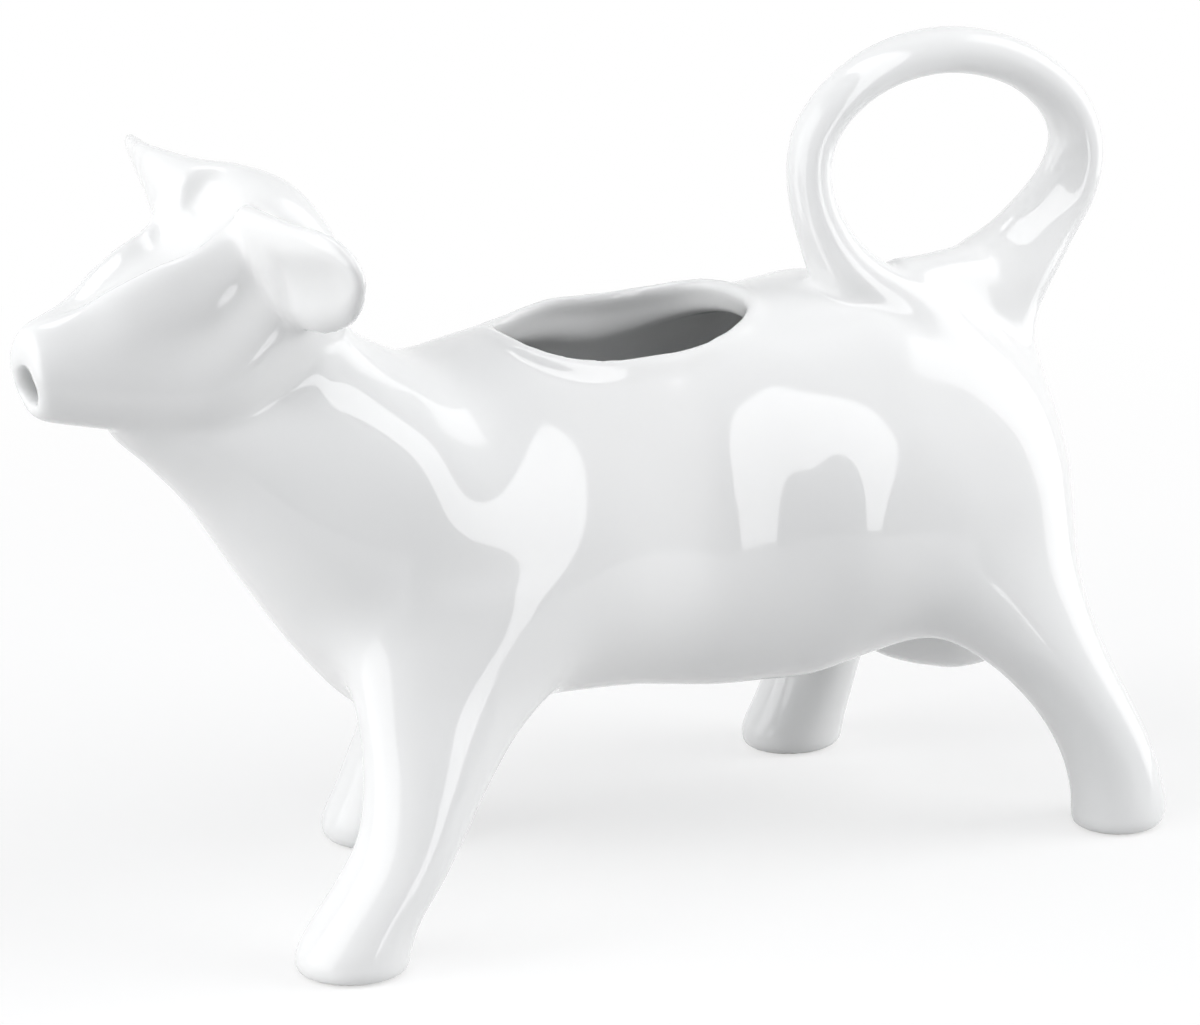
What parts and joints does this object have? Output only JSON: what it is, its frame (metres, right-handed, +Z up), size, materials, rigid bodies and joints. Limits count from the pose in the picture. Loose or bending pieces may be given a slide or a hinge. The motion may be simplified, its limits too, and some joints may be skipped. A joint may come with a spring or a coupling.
{
  "type": "cow creamer",
  "caption": "White glazed porcelain milk jug shaped as a standing cow: filled through an oval opening in the back, poured from a hole in the muzzle, held by the looped tail.",
  "frame": {"origin": "bottom centre of the whole object, on the plane of the four soles", "axes": "+Z up, the cow looks along -X, its left side is on -Y"},
  "size_m": [0.1578, 0.0613, 0.1031],
  "materials": {
    "glazed_porcelain": "clear gloss glaze on white porcelain"
  },
  "bodies": {
    "root": {"trunk": "glazed_porcelain", "head": "glazed_porcelain", "left_ear": "glazed_porcelain", "right_ear": "glazed_porcelain", "front_left_leg": "glazed_porcelain", "front_right_leg": "glazed_porcelain", "hind_left_leg": "glazed_porcelain", "hind_right_leg": "glazed_porcelain", "udder": "glazed_porcelain", "tail_handle": "glazed_porcelain"}
  },
  "joints": []
}
